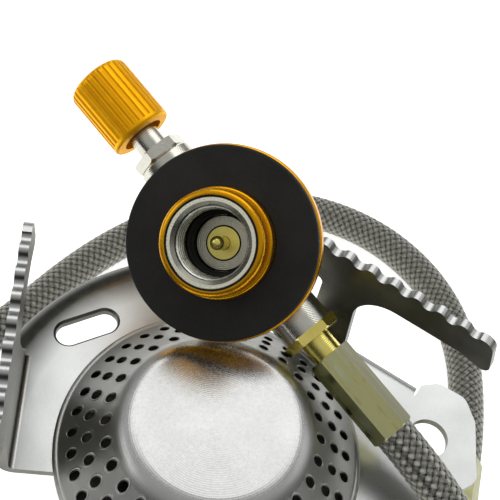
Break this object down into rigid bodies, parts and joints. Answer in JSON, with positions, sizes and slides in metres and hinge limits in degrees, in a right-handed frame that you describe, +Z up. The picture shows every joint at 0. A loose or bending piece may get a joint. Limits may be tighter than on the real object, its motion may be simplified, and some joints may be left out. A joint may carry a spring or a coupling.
{
  "type": "camping gas stove",
  "caption": "Folding camping gas stove: perforated round burner on sheet-steel legs with serrated pot arms, braided hose and a remote canister valve with a ribbed knob.",
  "frame": {"origin": "on the burner's axis at the level of the table that the feet stand on", "axes": "+Z up along the burner's axis, +Y along the left leg's pot arm and away from the viewer, +X to the right"},
  "size_m": [0.1115, 0.1365, 0.0561],
  "materials": {
    "burner_steel": "satin spun stainless",
    "leg_steel": "satin stainless sheet",
    "nickel": "nickel plated, turned",
    "gold_anodised": "gold anodised, fine turned",
    "brass": "bright turned",
    "yellow_zinc": "zinc plated, yellow passivated",
    "black_rubber": "matt",
    "hose_braid": "woven stainless wire braid"
  },
  "bodies": {
    "stove": {"burner_cap": "burner_steel", "burner_base": "burner_steel", "baffle_plate": "burner_steel", "burner_stem": "nickel", "right_leg": "leg_steel", "upper_washer": "nickel", "middle_washer": "nickel", "lower_washer": "nickel", "stem_nut": "nickel", "jet_body": "brass", "jet": "brass", "inlet_pipe": "brass", "inlet_nut": "brass", "inlet_ferrule": "yellow_zinc", "valve_flange": "gold_anodised", "valve_pad": "black_rubber", "thread_insert": "nickel", "valve_seal": "black_rubber", "pin_guide": "nickel", "pin_disc": "brass", "depressor_pin": "brass", "valve_body": "nickel", "gland_nut": "nickel", "gland_seal": "black_rubber", "outlet_nut": "brass", "outlet_tube": "brass", "valve_ferrule": "yellow_zinc", "hose": "hose_braid"},
    "left_leg": {"left_leg": "leg_steel"},
    "front_leg": {"front_leg": "leg_steel"},
    "spindle": {"spindle": "nickel"},
    "knob": {"knob": "gold_anodised"}
  },
  "joints": [
    {"name": "left_leg_fold", "type": "hinge", "parent": "stove", "child": "left_leg", "pos_m": [0, 0, 0.02125], "axis": [0, 0, 1], "range_deg": [0, 65]},
    {"name": "front_leg_fold", "type": "hinge", "parent": "stove", "child": "front_leg", "pos_m": [0, 0, 0.01725], "axis": [0, 0, 1], "range_deg": [0, 45]},
    {"name": "spindle_travel", "type": "slide", "parent": "stove", "child": "spindle", "axis": [-0.7009, 0.6757, 0.2286], "range_m": [0, 0.0015]},
    {"name": "knob_turn", "type": "hinge", "parent": "spindle", "child": "knob", "pos_m": [-0.01592, 0.04513, 0.04311], "axis": [-0.7009, 0.6757, 0.2286], "range_deg": [0, 540]}
  ],
  "couplings": [
    {"joint": "knob_turn", "follows": "spindle_travel", "rad_per_m": 6283.2}
  ]
}
